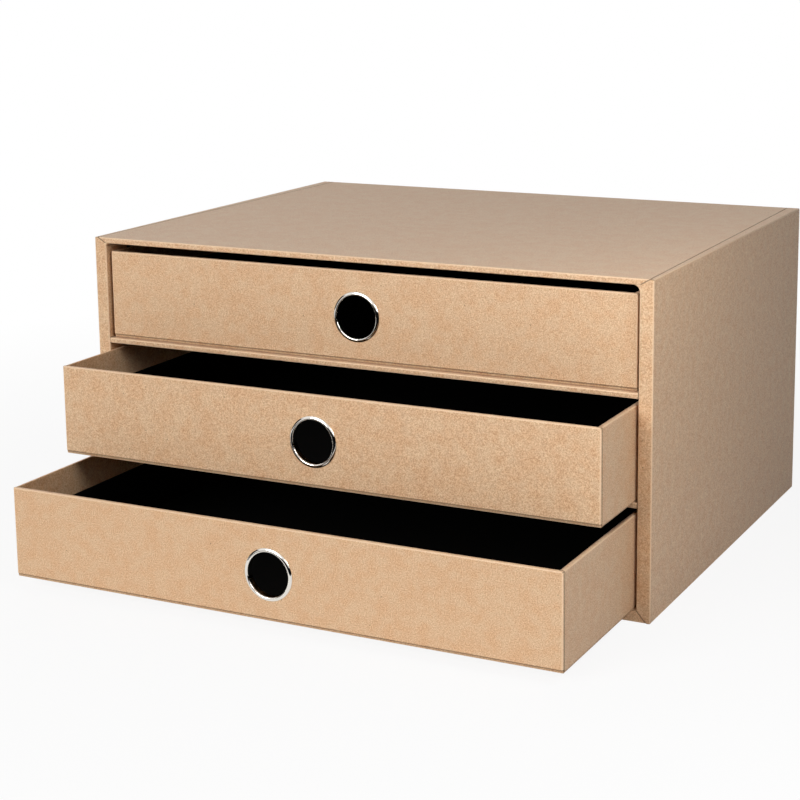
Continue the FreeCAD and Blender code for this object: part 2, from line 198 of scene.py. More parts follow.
class SheetSettings(bpy.types.PropertyGroup):
    """Shape of the paper's cut edges and of the pleats in the corners."""

    cut_rounding: FloatProperty(
        name="Cut Rounding",
        description="Roundness of a cut edge, which leaves a groove where two sheets meet",
        subtype="DISTANCE",
        default=0.3 * MM,
    )
    left_pleat: FloatProperty(
        name="Left Pleat",
        description="Radius of the spare paper in the opening's upper left corner",
        subtype="DISTANCE",
        default=1.6 * MM,
    )
    right_pleat: FloatProperty(
        name="Right Pleat",
        description="Radius of the spare paper in the opening's upper right corner",
        subtype="DISTANCE",
        default=3.4 * MM,
    )


class EyeletSettings(bpy.types.PropertyGroup):
    """Sizes of the pressed metal eyelets."""

    hole: FloatProperty(
        name="Finger Hole",
        description="Clear width of the hole",
        subtype="DISTANCE",
        default=23.5 * MM,
    )
    metal: FloatProperty(
        name="Metal",
        description="Thickness of the sheet that the eyelet is drawn from",
        subtype="DISTANCE",
        default=0.4 * MM,
    )
    curl: FloatProperty(
        name="Curl",
        description="Radius of the barrel's rolled end",
        subtype="DISTANCE",
        default=0.8 * MM,
    )
    crest_shift: FloatProperty(
        name="Crest Shift",
        description="Share of half the flange's width by which its crest lies nearer the hole",
        subtype="FACTOR",
        default=0.35,
    )
    washer_edge: FloatProperty(
        name="Washer Edge",
        description="Roundness of the washer's punched edges",
        subtype="DISTANCE",
        default=0.15 * MM,
    )
    around: IntProperty(
        name="Steps Around",
        description="Flat steps round the ring",
        default=128,
    )
    across: IntProperty(
        name="Steps Across",
        description="Points along the ring's section",
        default=56,
    )
    tint: FloatVectorProperty(
        name="Nickel",
        description="Colour of the plating",
        subtype="COLOR",
        default=linear("E6E1D9"),
    )


class StageSettings(bpy.types.PropertyGroup):
    """Lights and floor."""

    key: FloatProperty(
        name="Key Light",
        description="Power of the large soft light at the front left",
        subtype="POWER",
        default=26.5,
    )
    top: FloatProperty(
        name="Top Light",
        description="Power of the soft light above the back, at the left",
        subtype="POWER",
        default=3.1,
    )
    side: FloatProperty(
        name="Side Light",
        description="Power of the small light above the front right corner",
        subtype="POWER",
        default=0.88,
    )
    back: FloatProperty(
        name="Back Light",
        description="Power of the low light behind the box, which only its back sees",
        subtype="POWER",
        default=3.0,
    )
    room: FloatProperty(
        name="Room Light",
        description="Strength of the light from the ceiling of the room",
        default=0.01,
    )
    near_white: FloatProperty(
        name="Near White",
        description="Share of the floor's brightness beside the box that ignores the shadow",
        subtype="FACTOR",
        default=0.9,
    )
    white_reach: FloatProperty(
        name="White Reach",
        description="Distance from the box at which the floor keeps no shadow",
        subtype="DISTANCE",
        default=0.7,
    )


class FileBoxSettings(bpy.types.PropertyGroup):
    """All settings of the file box."""

    kraft: PointerProperty(type=KraftSettings)
    sheet: PointerProperty(type=SheetSettings)
    eyelet: PointerProperty(type=EyeletSettings)
    stage: PointerProperty(type=StageSettings)


# ---- materials ---------------------------------------------------------------

CLOUD_RANGE = (0.35, 0.65)
PULP_RANGE = (0.3, 0.7)
# Share of the fold colour, which gives rubbing wear and a painted highlight.
FOLD_WEAR_AND_HIGHLIGHT = 0.85
CUT_SHADE = 0.6
BOARD_DARK, BOARD_PALE, BOARD_FLECK = "77736D", "A39E95", "3E3B38"
BOARD_PULP = 1.2 * MM
LINING_DARK, LINING_PALE = "050505", "0D0C0B"
LINING_FIBRE = 0.8 * MM
DRAWING_MARK = 2.5 * MM
WHITE = (1, 1, 1, 1)
FLOOR_WHITE = (0.85, 0.85, 0.85, 1)
CARD_BLACK = (0.01, 0.01, 0.01, 1)
SHADOW_REACH = 0.25


def noise_level(tree, noise, values, least=0.0, most=1.0):
    """Spreads a noise between two of its values over a range; gives its output socket."""
    level = add(tree, "ShaderNodeMapRange", {
        "Value": noise.outputs["Fac"], "From Min": values[0], "From Max": values[1],
        "To Min": least, "To Max": most})
    return level.outputs["Result"]


def kraft_paper():
    """Kraft paper: unbleached recycled pulp, machine made and left uncoated.

    The eye sees soft clouds of pulp, a fine tufted grain, a few dark bark specks,
    pale folds from rubbing wear with a painted highlight, and dark joints where two
    cut edges meet, with painted shade in their groove and on the drawers' hems.
    """
    material = bpy.data.materials.get("kraft_paper_cover")
    if material:
        return material
    look = bpy.context.scene.file_box.kraft
    material, tree, output = new_material("kraft_paper_cover")
    place = add(tree, "ShaderNodeTexCoord").outputs["Object"]
    clouds = add(tree, "ShaderNodeTexNoise", {
        "Vector": place, "Scale": 1 / look.cloud_size, "Detail": 2.0, "Roughness": 0.6})
    cloud = noise_level(tree, clouds, CLOUD_RANGE)
    pulp = mix_colour(tree, cloud, (*look.warm, 1), (*look.pale, 1))
    fibres = add(tree, "ShaderNodeTexNoise", {
        "Vector": place, "Scale": 1 / look.fibre_size, "Detail": 1.5, "Roughness": 0.7})
    grain = noise_level(tree, fibres, PULP_RANGE, -look.grain, look.grain)
    grained = add(tree, "ShaderNodeVectorMath", {
        0: look.tuft, 1: grain, 2: pulp}, operation="MULTIPLY_ADD")
    dark = speck(tree, place, spacing=look.speck_spacing, radius=0.42 * MM, share=0.45)
    specked = mix_colour(tree, dark, grained.outputs["Vector"], (*look.speck, 1))
    # Folds get a paler colour: rubbing wear and a painted highlight.
    fold = add(tree, "ShaderNodeAttribute", attribute_name="fold")
    wear_and_highlight = math_node(tree, "MULTIPLY", fold.outputs["Fac"], FOLD_WEAR_AND_HIGHLIGHT)
    worn_and_highlit = mix_colour(tree, wear_and_highlight, specked, (*look.wear_and_highlight, 1))
    # Cut edges get a dark joint colour with painted groove shade; the base paper's hem gets
    # painted shade through the same mark.
    cut = add(tree, "ShaderNodeAttribute", attribute_name="cut")
    colour = mix_colour(tree, cut.outputs["Fac"], worn_and_highlit, (*look.joint_shade, 1))
    bump = add(tree, "ShaderNodeBump", {
        "Height": fibres.outputs["Fac"], "Distance": 0.05 * MM, "Strength": 0.6})
    gloss = add(tree, "ShaderNodeMapRange", {
        "Value": cut.outputs["Fac"], "From Max": CUT_SHADE, "To Min": 0.5, "To Max": 0.0})
    surface = add(tree, "ShaderNodeBsdfPrincipled", {
        "Base Color": colour, "Normal": bump.outputs["Normal"], "Roughness": 0.55, "IOR": 1.5,
        "Specular IOR Level": gloss.outputs["Result"], "Sheen Weight": 0.12,
        "Sheen Roughness": 0.5})
    tree.links.new(surface.outputs["BSDF"], output.inputs["Surface"])
    return material


def greyboard():
    """Greyboard: thick board of mixed waste paper, dull, with dark and pale flecks."""
    material, tree, output = new_material("greyboard_core")
    place = add(tree, "ShaderNodeTexCoord").outputs["Object"]
    pulp = add(tree, "ShaderNodeTexNoise", {
        "Vector": place, "Scale": 1 / BOARD_PULP, "Detail": 4.0, "Roughness": 0.7})
    level = noise_level(tree, pulp, PULP_RANGE)
    colour = mix_colour(tree, level, (*linear(BOARD_DARK), 1), (*linear(BOARD_PALE), 1))
    fleck = speck(tree, place, spacing=5 * MM, radius=0.4 * MM, share=0.5)
    flecked = mix_colour(tree, fleck, colour, (*linear(BOARD_FLECK), 1))
    bump = add(tree, "ShaderNodeBump", {
        "Height": pulp.outputs["Fac"], "Distance": 0.1 * MM, "Strength": 0.5})
    surface = add(tree, "ShaderNodeBsdfPrincipled", {
        "Base Color": flecked, "Normal": bump.outputs["Normal"], "Roughness": 0.85, "IOR": 1.45})
    tree.links.new(surface.outputs["BSDF"], output.inputs["Surface"])
    return material


def black_paper():
    """Black lining paper: dyed through and uncoated, so it swallows nearly all light."""
    material, tree, output = new_material("black_lining_paper")
    place = add(tree, "ShaderNodeTexCoord").outputs["Object"]
    fibres = add(tree, "ShaderNodeTexNoise", {
        "Vector": place, "Scale": 1 / LINING_FIBRE, "Detail": 3.0})
    colour = mix_colour(
        tree, fibres.outputs["Fac"], (*linear(LINING_DARK), 1), (*linear(LINING_PALE), 1))
    bump = add(tree, "ShaderNodeBump", {
        "Height": fibres.outputs["Fac"], "Distance": 0.05 * MM, "Strength": 0.5})
    surface = add(tree, "ShaderNodeBsdfPrincipled", {
        "Base Color": colour, "Normal": bump.outputs["Normal"], "Roughness": 0.95,
        "Specular IOR Level": 0.08})
    tree.links.new(surface.outputs["BSDF"], output.inputs["Surface"])
    return material


def bright_nickel():
    """Bright nickel plate on pressed steel: a near mirror with faint drawing marks."""
    material = bpy.data.materials.get("bright_nickel_plate")
    if material:
        return material
    look = bpy.context.scene.file_box.eyelet
    material, tree, output = new_material("bright_nickel_plate")
    place = add(tree, "ShaderNodeTexCoord").outputs["Object"]
    marks = add(tree, "ShaderNodeTexNoise", {
        "Vector": place, "Scale": 1 / DRAWING_MARK, "Detail": 3.0})
    polish = add(tree, "ShaderNodeMapRange", {
        "Value": marks.outputs["Fac"], "To Min": 0.05, "To Max": 0.09})
    surface = add(tree, "ShaderNodeBsdfPrincipled", {
        "Base Color": (*look.tint, 1), "Metallic": 1.0, "Roughness": polish.outputs["Result"]})
    tree.links.new(surface.outputs["BSDF"], output.inputs["Surface"])
    return material


def studio_floor():
    """Matt white studio paper that looks white to the camera and keeps a faint shadow."""
    look = bpy.context.scene.file_box.stage
    material, tree, output = new_material("studio_floor")
    matt = add(tree, "ShaderNodeBsdfDiffuse", {"Color": FLOOR_WHITE})
    white = add(tree, "ShaderNodeEmission", {"Color": WHITE, "Strength": 1.0})
    place = add(tree, "ShaderNodeTexCoord").outputs["Object"]
    distance = add(tree, "ShaderNodeVectorMath", {0: place}, operation="LENGTH")
    white_share = add(tree, "ShaderNodeMapRange", {
        "Value": distance.outputs["Value"], "From Min": SHADOW_REACH,
        "From Max": look.white_reach, "To Min": look.near_white, "To Max": 1.0})
    share = math_node(
        tree, "MULTIPLY", seen_directly(tree), white_share.outputs["Result"])
    mixed = add(tree, "ShaderNodeMixShader", {
        0: share, 1: matt.outputs["BSDF"], 2: white.outputs["Emission"]})
    tree.links.new(mixed.outputs["Shader"], output.inputs["Surface"])
    return material


def dark_card():
    """Black card, which gives polished metal its dark lines."""
    material, tree, output = new_material("dark_card")
    surface = add(tree, "ShaderNodeBsdfDiffuse", {"Color": CARD_BLACK})
    tree.links.new(surface.outputs["BSDF"], output.inputs["Surface"])
    return material


# ---- kraft sheets ------------------------------------------------------------

WELD = 1e-6
FLAT_ANGLE = math.radians(0.5)
CUT_ANGLE = math.radians(55)
HALF_TURN = math.radians(45)
PAPER = 0.4 * MM
HEM_JOINT = 0.6 * MM
HEM_FACING = 0.7
HEM_SHADE = 0.25
HEM_JOINT_SHADE = 0.45
PLEAT_STEP = 0.05 * MM
PLEAT_SOFT = 0.5 * MM
PLEAT_DEPTH = 8 * MM
PLEAT_STEPS = 8
PLEAT_ROOT = 1.5 * PAPER


def mark_folds(mesh):
    """Marks how far each face of a fold turns from the flat panels, which all stand square."""
    mesh.normal_update()
    fold = mesh.faces.layers.float.new("fold")
    for face in mesh.faces:
        turn = math.acos(min(1.0, max(abs(part) for part in face.normal)))
        face[fold] = min(1.0, turn / HALF_TURN)


def round_cuts(mesh, rounding):
    """Rounds the outer edges where the paper was cut, and marks them for a dark joint with
    painted shade in the groove.
    """
    cut = mesh.faces.layers.float.new("cut")
    corners = [vertex.co for vertex in mesh.verts]
    centre = Vector([(min(part) + max(part)) / 2 for part in zip(*corners)])
    cuts = []
    for edge in mesh.edges:
        if edge.calc_face_angle_signed(0) > CUT_ANGLE:
            panel = max(edge.link_faces, key=lambda face: face.calc_area())
            if panel.normal.dot(panel.calc_center_median() - centre) > 0:
                cuts.append(edge)
    made = bmesh.ops.bevel(
        mesh, geom=cuts, offset=rounding, offset_type="OFFSET", segments=2, profile=0.5,
        affect="EDGES", clamp_overlap=False)
    for face in made["faces"]:
        face[cut] = CUT_SHADE


def keep_inside(mesh, low, high):
    """Brings points that the rounding pushed outwards back to the sheet's own box."""
    for vertex in mesh.verts:
        vertex.co = [min(max(at, least), most) for at, least, most in zip(vertex.co, low, high)]


def shade_hem(mesh):
    """Paints shade on the base paper's turned-up hem, which stands back under the front, and
    most of all on its joint under the front.
    """
    cut = mesh.faces.layers.float["cut"]
    hem = max(vertex.co.z for vertex in mesh.verts) - HEM_JOINT
    bmesh.ops.bisect_plane(
        mesh, geom=[*mesh.verts, *mesh.edges, *mesh.faces], plane_co=(0, 0, hem),
        plane_no=(0, 0, 1))
    mesh.normal_update()
    for face in mesh.faces:
        # Painted shade on the hem's forward faces, darkest at the joint.
        if face.normal.y < -HEM_FACING:
            above = face.calc_center_median().z > hem
            face[cut] = HEM_JOINT_SHADE if above else HEM_SHADE


def fold_pleats(mesh):
    """Adds the pleats of spare paper that round the rim's upper inner corners."""
    pleat = bpy.context.scene.file_box.sheet
    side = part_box("case_right_paper")[0].x
    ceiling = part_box("case_top_board")[0].z - PAPER
    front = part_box("case_top_paper")[0].y + PLEAT_STEP
    for hand, radius in ((-1, pleat.left_pleat), (1, pleat.right_pleat)):
        rings = []
        for step in range(PLEAT_STEPS + 2):
            depth = PLEAT_SOFT * step / PLEAT_STEPS if step <= PLEAT_STEPS else PLEAT_DEPTH
            short = max(0.0, PLEAT_SOFT - depth)
            open_more = PLEAT_SOFT - math.sqrt(PLEAT_SOFT ** 2 - short ** 2)
            rings.append(pleat_ring(
                mesh, hand, side, ceiling, front + depth, radius, open_more))
        made = [cap for ring in (rings[0], rings[-1]) for cap in pleat_cap(mesh, ring)]
        for ring, following in zip(rings, rings[1:]):
            next_points = ring[1:] + ring[:1]
            next_following = following[1:] + following[:1]
            for corners in zip(ring, next_points, next_following, following):
                made.append(mesh.faces.new(corners))
        bmesh.ops.recalc_face_normals(mesh, faces=made)


def pleat_ring(mesh, hand, side, ceiling, y, radius, open_more):
    """One section of a pleat: a buried corner, then the hollow arc that shows."""
    points = [(side + PLEAT_ROOT, ceiling + PLEAT_ROOT)]
    reach = radius + open_more
    for step in range(PLEAT_STEPS + 1):
        angle = math.pi / 2 * step / PLEAT_STEPS
        points.append((
            side - radius + reach * math.cos(angle), ceiling - radius + reach * math.sin(angle)))
    return [mesh.verts.new((hand * x, y, z)) for x, z in points]


def pleat_cap(mesh, ring):
    """Closes an end of a pleat with triangles from its buried corner."""
    return [mesh.faces.new((ring[0], a, b)) for a, b in zip(ring[1:], ring[2:])]


def sheet(name, node, body, detail=None):
    """One folded kraft sheet, finer than the CAD sheet that it stands for."""
    settings = bpy.context.scene.file_box.sheet
    mesh = bmesh.new()
    mesh.from_mesh(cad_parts[node].data)
    bmesh.ops.remove_doubles(mesh, verts=mesh.verts, dist=WELD)
    bmesh.ops.dissolve_limit(mesh, angle_limit=FLAT_ANGLE, verts=mesh.verts, edges=mesh.edges)
    mark_folds(mesh)
    round_cuts(mesh, settings.cut_rounding)
    keep_inside(mesh, *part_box(node))
    bmesh.ops.dissolve_degenerate(mesh, dist=WELD, edges=mesh.edges)
    if detail:
        detail(mesh)
    for face in mesh.faces:
        face.smooth = True
    data = bpy.data.meshes.new(name)
    mesh.to_mesh(data)
    mesh.free()
    piece = bpy.data.objects.new(name, data)
    bpy.context.scene.collection.objects.link(piece)
    data.materials.append(kraft_paper())
    even = piece.modifiers.new("even_shading", "WEIGHTED_NORMAL")
    even.weight = 100
    even.keep_sharp = False
    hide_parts(node)
    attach(piece, body)


# ---- eyelets -----------------------------------------------------------------

LENGTH = "NodeSocketFloat"
COUNT = "NodeSocketInt"
SHAPE = "NodeSocketGeometry"
MATERIAL = "NodeSocketMaterial"
TURNING = (("Across", COUNT), ("Around", COUNT), ("Weld", LENGTH))
DOME_POINTS = 48
CURL_POINTS = 32
CURL_TURN = math.radians(200)
PUNCHED_POINTS = 5
WASHER_FIT = 0.1 * MM


def new_tree(name, *inputs):
    """An empty geometry tree with named inputs; gives it, its input and its output node."""
    tree = bpy.data.node_groups.new(name, "GeometryNodeTree")
    for label, kind in inputs:
        tree.interface.new_socket(name=label, in_out="INPUT", socket_type=kind)
    tree.interface.new_socket(name="Geometry", in_out="OUTPUT", socket_type=SHAPE)
    return tree, tree.nodes.new("NodeGroupInput"), tree.nodes.new("NodeGroupOutput")


def point(tree, x=0.0, y=0.0, z=0.0):
    """A vector from sockets or numbers; gives its output socket."""
    return add(tree, "ShaderNodeCombineXYZ", {"X": x, "Y": y, "Z": z}).outputs["Vector"]


def position(tree):
    """The place of each point, as a node with the outputs X, Y and Z."""
    place = add(tree, "GeometryNodeInputPosition").outputs["Position"]
    return add(tree, "ShaderNodeSeparateXYZ", {0: place})


def turning_tree():
    """Tree that turns a section once round the Y axis.

    The section is drawn in the XY plane: X is the distance from the axis. The grid's
    X runs along the section and its Y round the axis, both from -0.5 to 0.5.
    """
    tree, given, result = new_tree("Turn Section", ("Section", SHAPE), *TURNING)
    steps = math_node(tree, "ADD", given.outputs["Around"], 1)
    grid = add(tree, "GeometryNodeMeshGrid", {
        "Size X": 1.0, "Size Y": 1.0, "Vertices X": given.outputs["Across"],
        "Vertices Y": steps})
    spot = position(tree)
    along = math_node(tree, "ADD", spot.outputs["X"], 0.5)
    turn = math_node(tree, "MULTIPLY", spot.outputs["Y"], 2 * math.pi)
    sample = add(tree, "GeometryNodeSampleCurve", {
        "Curves": given.outputs["Section"], "Factor": along}, mode="FACTOR", use_all_curves=True)
    drawn = add(tree, "ShaderNodeSeparateXYZ", {0: sample.outputs["Position"]})
    sine = math_node(tree, "SINE", turn)
    cosine = math_node(tree, "COSINE", turn)
    turned = point(
        tree, math_node(tree, "MULTIPLY", drawn.outputs["X"], sine), drawn.outputs["Y"],
        math_node(tree, "MULTIPLY", drawn.outputs["X"], cosine))
    moved = add(tree, "GeometryNodeSetPosition", {
        "Geometry": grid.outputs["Mesh"], "Position": turned})
    welded = add(tree, "GeometryNodeMergeByDistance", {
        "Geometry": moved.outputs["Geometry"], "Distance": given.outputs["Weld"]})
    smooth = add(tree, "GeometryNodeSetShadeSmooth", {"Geometry": welded.outputs["Geometry"]})
    tree.links.new(smooth.outputs["Geometry"], result.inputs["Geometry"])
    return tree


def finish_tree(tree, given, result, turning, section):
    """Ends a tree with its section turned into real geometry of its material."""
    turned = add(tree, "GeometryNodeGroup", {"Section": section}, node_tree=turning)
    for name, _ in TURNING:
        tree.links.new(given.outputs[name], turned.inputs[name])
    real = add(tree, "GeometryNodeRealizeInstances", {"Geometry": turned.outputs["Geometry"]})
    painted = add(tree, "GeometryNodeSetMaterial", {
        "Geometry": real.outputs["Geometry"], "Material": given.outputs["Material"]})
    tree.links.new(painted.outputs["Geometry"], result.inputs["Geometry"])
    return tree


def eyelet_tree(turning):
    """Tree of a pressed eyelet: domed flange, straight barrel and rolled end."""
    tree, given, result = new_tree(
        "Pressed Eyelet", ("Hole Radius", LENGTH), ("Flange Radius", LENGTH),
        ("Dome Height", LENGTH), ("Crest Shift", LENGTH), ("Barrel Depth", LENGTH),
        ("Curl Radius", LENGTH), *TURNING, ("Material", MATERIAL))
    hole = given.outputs["Hole Radius"]
    flange = given.outputs["Flange Radius"]
    depth = given.outputs["Barrel Depth"]
    curl = given.outputs["Curl Radius"]
    half = math_node(tree, "MULTIPLY", math_node(tree, "SUBTRACT", flange, hole), 0.5)
    middle = math_node(tree, "ADD", hole, half)
    bow = add(tree, "GeometryNodeCurveArc", {
        "Resolution": DOME_POINTS, "Radius": 1.0, "Start Angle": 0.0, "Sweep Angle": -math.pi})
    spot = position(tree)
    rise = math_node(tree, "POWER", spot.outputs["Y"], 2.0)
    lean = math_node(tree, "MULTIPLY", rise, given.outputs["Crest Shift"])
    shifted = math_node(tree, "SUBTRACT", spot.outputs["X"], lean)
    leaning = add(tree, "GeometryNodeSetPosition", {
        "Geometry": bow.outputs["Curve"], "Position": point(tree, shifted, spot.outputs["Y"])})
    dome = add(tree, "GeometryNodeTransform", {
        "Geometry": leaning.outputs["Geometry"], "Translation": point(tree, middle),
        "Scale": point(tree, half, given.outputs["Dome Height"], 1.0)})
    barrel = add(tree, "GeometryNodeCurvePrimitiveLine", {
        "Start": point(tree, hole), "End": point(tree, hole, depth)})
    roll = add(tree, "GeometryNodeCurveArc", {
        "Resolution": CURL_POINTS, "Radius": curl, "Start Angle": math.pi,
        "Sweep Angle": -CURL_TURN})
    rolled = add(tree, "GeometryNodeTransform", {
        "Geometry": roll.outputs["Curve"],
        "Translation": point(tree, math_node(tree, "ADD", hole, curl), depth)})
    section = add(tree, "GeometryNodeJoinGeometry")
    for part in (rolled.outputs["Geometry"], barrel.outputs["Curve"], dome.outputs["Geometry"]):
        tree.links.new(part, section.inputs["Geometry"])
    return finish_tree(tree, given, result, turning, section.outputs["Geometry"])


def washer_tree(turning):
    """Tree of a punched washer with rounded edges."""
    tree, given, result = new_tree(
        "Punched Washer", ("Inner Radius", LENGTH), ("Outer Radius", LENGTH),
        ("Thickness", LENGTH), ("Edge", LENGTH), *TURNING, ("Material", MATERIAL))
    inner = given.outputs["Inner Radius"]
    outer = given.outputs["Outer Radius"]
    width = math_node(tree, "SUBTRACT", outer, inner)
    middle = math_node(tree, "ADD", inner, math_node(tree, "MULTIPLY", width, 0.5))
    box = add(tree, "GeometryNodeCurvePrimitiveQuadrilateral", {
        "Width": width, "Height": given.outputs["Thickness"]})
    rounded = add(tree, "GeometryNodeFilletCurve", {
        "Curve": box.outputs["Curve"], "Radius": given.outputs["Edge"],
        "Count": PUNCHED_POINTS}, mode="POLY")
    placed = add(tree, "GeometryNodeTransform", {
        "Geometry": rounded.outputs["Curve"], "Translation": point(tree, middle)})
    outward = add(tree, "GeometryNodeReverseCurve", {"Curve": placed.outputs["Geometry"]})
    return finish_tree(tree, given, result, turning, outward.outputs["Curve"])


def from_tree(name, tree, values, place, metal=0.0):
    """A plain mesh piece from a geometry tree, with its place in its mesh."""
    carrier = bpy.data.objects.new(name + "_carrier", bpy.data.meshes.new(name + "_carrier"))
    bpy.context.scene.collection.objects.link(carrier)
    nodes = carrier.modifiers.new("shape", "NODES")
    nodes.node_group = tree
    for item in tree.interface.items_tree:
        if item.in_out == "INPUT" and item.name in values:
            nodes[item.identifier] = values[item.name]
    if metal:
        wall = carrier.modifiers.new("metal", "SOLIDIFY")
        wall.thickness = metal
        wall.offset = -1
        wall.use_rim = True
    bpy.context.view_layer.update()
    evaluated = carrier.evaluated_get(bpy.context.evaluated_depsgraph_get())
    data = bpy.data.meshes.new_from_object(evaluated)
    data.name = name
    bpy.data.objects.remove(carrier)
    data.transform(Matrix.Translation(place))
    piece = bpy.data.objects.new(name, data)
    bpy.context.scene.collection.objects.link(piece)
    return piece


def set_eyelet(drawer, trees):
    """The eyelet of one drawer and the washer that it is clinched over."""
    settings = bpy.context.scene.file_box.eyelet
    low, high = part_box(drawer + "_eyelet")
    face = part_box(drawer + "_front_paper")[0].y
    back_low, back_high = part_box(drawer + "_eyelet_washer")
    centre = (low + high) / 2
    shared = {
        "Across": settings.across, "Around": settings.around, "Weld": WELD,
        "Material": bright_nickel()}
    eyelet = from_tree(drawer + "_pressed_eyelet", trees[0], {
        "Hole Radius": settings.hole / 2,
        "Flange Radius": (high.x - low.x) / 2,
        "Dome Height": face - low.y,
        "Crest Shift": settings.crest_shift,
        "Barrel Depth": back_high.y - face,
        "Curl Radius": settings.curl,
        **shared,
    }, Vector((centre.x, face, centre.z)), settings.metal)
    washer = from_tree(drawer + "_punched_washer", trees[1], {
        "Inner Radius": settings.hole / 2 + settings.metal + WASHER_FIT,
        "Outer Radius": (back_high.x - back_low.x) / 2,
        "Thickness": back_high.y - back_low.y,
        "Edge": settings.washer_edge,
        **shared,
    }, (back_low + back_high) / 2)
    for piece, node in ((eyelet, "_eyelet"), (washer, "_eyelet_washer")):
        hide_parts(drawer + node)
        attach(piece, drawer)


# ---- stage -------------------------------------------------------------------

CAMERA_PLACE = Vector((466.8, -967.9, 342.2)) * MM
CAMERA_TURN = [math.radians(a) for a in (-26.536, 10.515, -0.548)]
PICTURE = 800
FOCAL_PIXELS = 1837.7
CENTRE_PIXEL = (436.2, 280.0)
SENSOR = 36.0


def make_camera():
    """The camera, at the height of a person who stands before the box."""
    yaw, pitch, roll = CAMERA_TURN
    ahead = Vector((
        math.sin(yaw) * math.cos(pitch), math.cos(yaw) * math.cos(pitch), -math.sin(pitch)))
    level = Vector((math.cos(yaw), -math.sin(yaw), 0))
    upright = level.cross(ahead)
    across = math.cos(roll) * level + math.sin(roll) * upright
    above = -math.sin(roll) * level + math.cos(roll) * upright
    lens = bpy.data.cameras.new("camera")
    lens.sensor_width = SENSOR
    lens.lens = FOCAL_PIXELS / PICTURE * SENSOR
    lens.shift_x = 0.5 - CENTRE_PIXEL[0] / PICTURE
    lens.shift_y = CENTRE_PIXEL[1] / PICTURE - 0.5
    camera = bpy.data.objects.new("camera", lens)
    turn = Matrix((across, above, -ahead)).transposed().to_4x4()
    camera.matrix_world = Matrix.Translation(CAMERA_PLACE) @ turn
    bpy.context.scene.collection.objects.link(camera)
    bpy.context.scene.camera = camera


BOX_MIDDLE = Vector((0, -0.1, 0.08))
# Each light's name, place and width.
LIGHTS = (
    ("key", (-0.5, -1.8, 0.9), 1.0),
    ("top", (-0.8, 0.4, 1.2), 0.8),
    ("side", (0.4, -0.3, 0.35), 0.2),
    ("back", (-0.5, 1.2, 0.09), 0.16),
)
# The floor's reach, and the cards' ends and heights: each card has two opposite corners.
FLOOR_END = 6.0
CARD_LEVEL = 0.001
CARD_FRONT, CARD_NEAR_END, CARD_BACK = -1.9, -0.35, 0.6
CARD_SPLIT = -0.5
CARD_IN, CARD_OUT = 0.65, 1.6
FRONT_HEIGHT, LEFT_HEIGHT, RIGHT_HEIGHT = 0.4, 0.85, 0.5
LEFT_START = -1.5
CARDS = (
    ("front_floor", (CARD_SPLIT, CARD_FRONT, CARD_LEVEL), (CARD_OUT, CARD_NEAR_END, CARD_LEVEL)),
    ("left_floor", (-CARD_OUT, CARD_NEAR_END, CARD_LEVEL), (-CARD_IN, CARD_BACK, CARD_LEVEL)),
    ("right_floor", (CARD_IN, CARD_NEAR_END, CARD_LEVEL), (CARD_OUT, CARD_BACK, CARD_LEVEL)),
    ("front_wall", (CARD_SPLIT, CARD_FRONT, 0.0), (CARD_OUT, CARD_FRONT, FRONT_HEIGHT)),
    ("left_wall", (-CARD_OUT, LEFT_START, 0.0), (-CARD_OUT, CARD_BACK, LEFT_HEIGHT)),
    ("right_wall", (CARD_OUT, CARD_FRONT, 0.0), (CARD_OUT, CARD_BACK, RIGHT_HEIGHT)),
)


def area_light(name, place, size, power):
    """A square soft light that looks at the middle of the box."""
    data = bpy.data.lights.new(name, "AREA")
    data.shape = "SQUARE"
    data.size = size
    data.energy = power
    light = bpy.data.objects.new(name, data)
    light.location = place
    light.rotation_euler = (BOX_MIDDLE - place).to_track_quat("-Z", "Y").to_euler()
    light.visible_camera = False
    bpy.context.scene.collection.objects.link(light)


def room_light():
    """Soft light from the ceiling of a room, before a white background."""
    look = bpy.context.scene.file_box.stage
    world = bpy.data.worlds.new("studio")
    world.use_nodes = True
    tree = world.node_tree
    tree.nodes.clear()
    output = tree.nodes.new("ShaderNodeOutputWorld")
    direction = add(tree, "ShaderNodeTexCoord").outputs["Generated"]
    height = add(tree, "ShaderNodeSeparateXYZ", {0: direction}).outputs["Z"]
    level = add(tree, "ShaderNodeMapRange", {
        "Value": height, "From Min": 0.0, "From Max": 0.9, "To Min": 0.0, "To Max": look.room})
    room = add(tree, "ShaderNodeBackground", {
        "Color": WHITE, "Strength": level.outputs["Result"]})
    white = add(tree, "ShaderNodeBackground", {"Color": WHITE, "Strength": 1.0})
    mixed = add(tree, "ShaderNodeMixShader", {
        0: seen_directly(tree), 1: room.outputs["Background"], 2: white.outputs["Background"]})
    tree.links.new(mixed.outputs["Shader"], output.inputs["Surface"])
    bpy.context.scene.world = world


def studio_sheet(name, low, high, material):
    """A level or upright rectangle between two corners, which belongs to the studio."""
    mesh = bmesh.new()
    if low.z == high.z:
        corners = ((low.x, low.y), (high.x, low.y), (high.x, high.y), (low.x, high.y))
        places = [(x, y, low.z) for x, y in corners]
    else:
        places = [low, (high.x, high.y, low.z), high, (low.x, low.y, high.z)]
    mesh.faces.new([mesh.verts.new(place) for place in places])
    data = bpy.data.meshes.new(name)
    mesh.to_mesh(data)
    mesh.free()
    data.materials.append(material)
    piece = bpy.data.objects.new(name, data)
    bpy.context.scene.collection.objects.link(piece)
    return piece


def make_floor():
    """A wide floor of white paper, and dark cards round it that only mirrors see."""
    corner = Vector((FLOOR_END, FLOOR_END, 0))
    studio_sheet("studio_floor", -corner, corner, studio_floor())
    black = dark_card()
    for name, low, high in CARDS:
        card = studio_sheet(name + "_card", Vector(low), Vector(high), black)
        card.visible_camera = False
        card.visible_diffuse = False
        card.visible_shadow = False


# ---- operators ---------------------------------------------------------------

